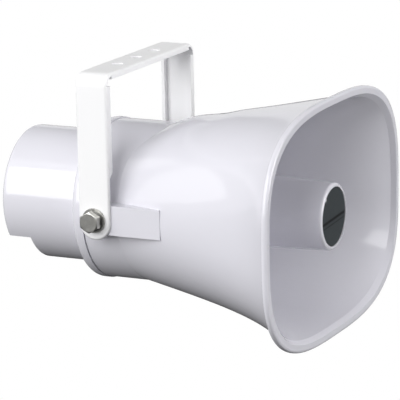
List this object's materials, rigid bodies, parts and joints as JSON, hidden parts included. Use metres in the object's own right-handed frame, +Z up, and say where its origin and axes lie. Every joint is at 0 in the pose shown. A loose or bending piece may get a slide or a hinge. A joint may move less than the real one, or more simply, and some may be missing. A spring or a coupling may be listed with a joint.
{
  "type": "horn loudspeaker",
  "caption": "White re-entrant horn loudspeaker with a wide rounded mouth and a central bullet, tilting on bolts in a folded U bracket.",
  "frame": {"origin": "centre of the bracket's upper outer face, on the axis of the middle fixing hole", "axes": "+X the way the horn points at rest, +Y along the tilt axis away from the picture's side, +Z up, out of the bracket's upper face"},
  "size_m": [0.1999, 0.1984, 0.1571],
  "materials": {
    "powder_coat": "satin powder coat",
    "white_shell": "gloss",
    "inner_plastic": "moulded",
    "badge_grey": "gloss",
    "black_rubber": "matt",
    "zinc_steel": "zinc plated",
    "brass_insert": "turned",
    "cast_alloy": "die cast",
    "ferrite": "ground ceramic magnet",
    "dome_film": "phenolic film",
    "winding_wire": "enamelled copper wire",
    "winding_tape": "bobbin and tape",
    "lamination": "stacked sheet",
    "grey_plastic": "moulded"
  },
  "bodies": {
    "wall_bracket": {"bracket": "powder_coat"},
    "horn": {"bell": "white_shell", "horn_base": "inner_plastic", "throat_tube": "inner_plastic", "reflector": "white_shell", "badge_disc": "badge_grey", "throat_gasket": "black_rubber", "driver_front_plate": "cast_alloy", "phase_plug": "inner_plastic", "diaphragm": "dome_film", "voice_coil": "winding_wire", "magnet_top_plate": "zinc_steel", "ring_magnet": "ferrite", "pole_yoke": "zinc_steel", "driver_screws": "zinc_steel", "driver_terminal_strip": "grey_plastic", "transformer_core": "lamination", "transformer_coil": "winding_tape", "transformer_frame": "zinc_steel", "transformer_screws": "zinc_steel", "terminal_block": "grey_plastic", "rear_cover": "white_shell", "cover_gasket": "black_rubber", "cover_screws": "zinc_steel", "gland_body": "grey_plastic", "gland_seal": "black_rubber", "gland_nut": "grey_plastic", "gland_lock_nut": "grey_plastic", "threaded_inserts": "brass_insert", "pivot_bolts": "zinc_steel", "spring_washers": "zinc_steel", "flat_washers": "zinc_steel"}
  },
  "joints": [
    {"name": "tilt", "type": "hinge", "parent": "wall_bracket", "child": "horn", "pos_m": [0, 0, -0.086], "axis": [0, 1, 0], "range_deg": [-38, 90]}
  ]
}
